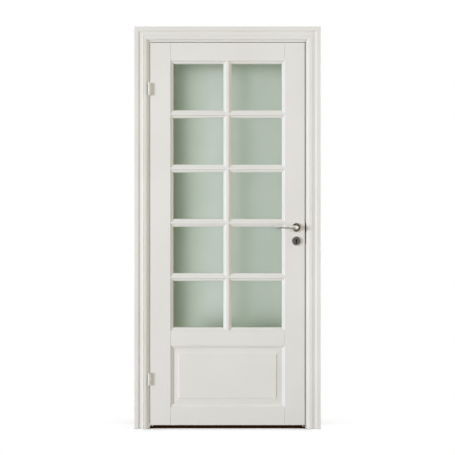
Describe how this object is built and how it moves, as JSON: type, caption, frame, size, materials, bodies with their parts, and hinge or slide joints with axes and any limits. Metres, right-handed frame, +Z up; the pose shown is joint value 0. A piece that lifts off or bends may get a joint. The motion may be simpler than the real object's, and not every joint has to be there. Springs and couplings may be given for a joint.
{
  "type": "glazed interior door set",
  "caption": "Glazed interior door leaf with moulded glazing bars and a raised lower panel, hinged in a rebated frame with casings, lever handle and latch lock.",
  "frame": {"origin": "on the floor, midway along the leaf's width and thickness", "axes": "+X to the lock side seen from the front, +Y from the front through the wall to the rear, +Z up"},
  "size_m": [0.991, 0.174, 2.1405],
  "materials": {
    "painted_wood": "satin white paint",
    "frosted_glass": "frosted",
    "satin_nickel": "satin",
    "lock_steel": "plain",
    "zinc_steel": "bright zinc",
    "seal_rubber": "matt",
    "beech": "bare"
  },
  "bodies": {
    "frame": {"hinge_jamb": "painted_wood", "lock_jamb": "painted_wood", "head_jamb": "painted_wood", "front_casing_left": "painted_wood", "front_casing_right": "painted_wood", "front_casing_head": "painted_wood", "rear_casing_left": "painted_wood", "rear_casing_right": "painted_wood", "rear_casing_head": "painted_wood", "frame_seal": "seal_rubber", "strike_plate": "lock_steel", "frame_sleeves": "zinc_steel", "frame_screws": "zinc_steel", "upper_hinge_frame_part": "zinc_steel", "lower_hinge_frame_part": "zinc_steel", "hinge_pins": "zinc_steel"},
    "leaf": {"hinge_stile": "painted_wood", "lock_stile": "painted_wood", "top_rail": "painted_wood", "middle_rail": "painted_wood", "bottom_rail": "painted_wood", "rail_dowels": "beech", "upright_bar": "painted_wood", "level_bar_1": "painted_wood", "level_bar_2": "painted_wood", "level_bar_3": "painted_wood", "level_bar_4": "painted_wood", "panel": "painted_wood", "pane_1_left": "frosted_glass", "pane_1_right": "frosted_glass", "pane_2_left": "frosted_glass", "pane_2_right": "frosted_glass", "pane_3_left": "frosted_glass", "pane_3_right": "frosted_glass", "pane_4_left": "frosted_glass", "pane_4_right": "frosted_glass", "pane_5_left": "frosted_glass", "pane_5_right": "frosted_glass", "upright_beads": "painted_wood", "level_beads": "painted_wood", "upper_hinge_leaf_part": "zinc_steel", "lower_hinge_leaf_part": "zinc_steel", "leaf_screws": "zinc_steel", "lock_case": "lock_steel", "lock_cover": "lock_steel", "latch_spring": "lock_steel", "rosette_bases": "zinc_steel", "rosette_screws": "zinc_steel", "front_rosette": "satin_nickel", "rear_rosette": "satin_nickel", "front_escutcheon": "satin_nickel", "rear_escutcheon": "satin_nickel"},
    "handle": {"front_lever": "satin_nickel", "rear_lever": "satin_nickel", "lever_grub_screws": "zinc_steel", "spindle": "zinc_steel", "follower": "lock_steel"},
    "latch": {"latch_bolt": "lock_steel"},
    "deadbolt": {"dead_bolt": "lock_steel"}
  },
  "joints": [
    {"name": "leaf_swing", "type": "hinge", "parent": "frame", "child": "leaf", "pos_m": [-0.4165, -0.0325, 1.0375], "axis": [0, 0, -1], "range_deg": [0, 170]},
    {"name": "handle_turn", "type": "hinge", "parent": "leaf", "child": "handle", "pos_m": [0.3665, 0, 1.072], "axis": [0, -1, 0], "range_deg": [0, 42], "stiffness_Nm_per_rad": 1, "springref_deg": -34.38},
    {"name": "latch_slide", "type": "slide", "parent": "leaf", "child": "latch", "axis": [-1, 0, 0], "range_m": [0, 0.0112], "deforming": ["latch_spring"]},
    {"name": "deadbolt_slide", "type": "slide", "parent": "leaf", "child": "deadbolt", "axis": [1, 0, 0], "range_m": [0, 0.013]}
  ],
  "couplings": [
    {"joint": "latch_slide", "follows": "handle_turn", "m_per_rad": 0.015}
  ]
}
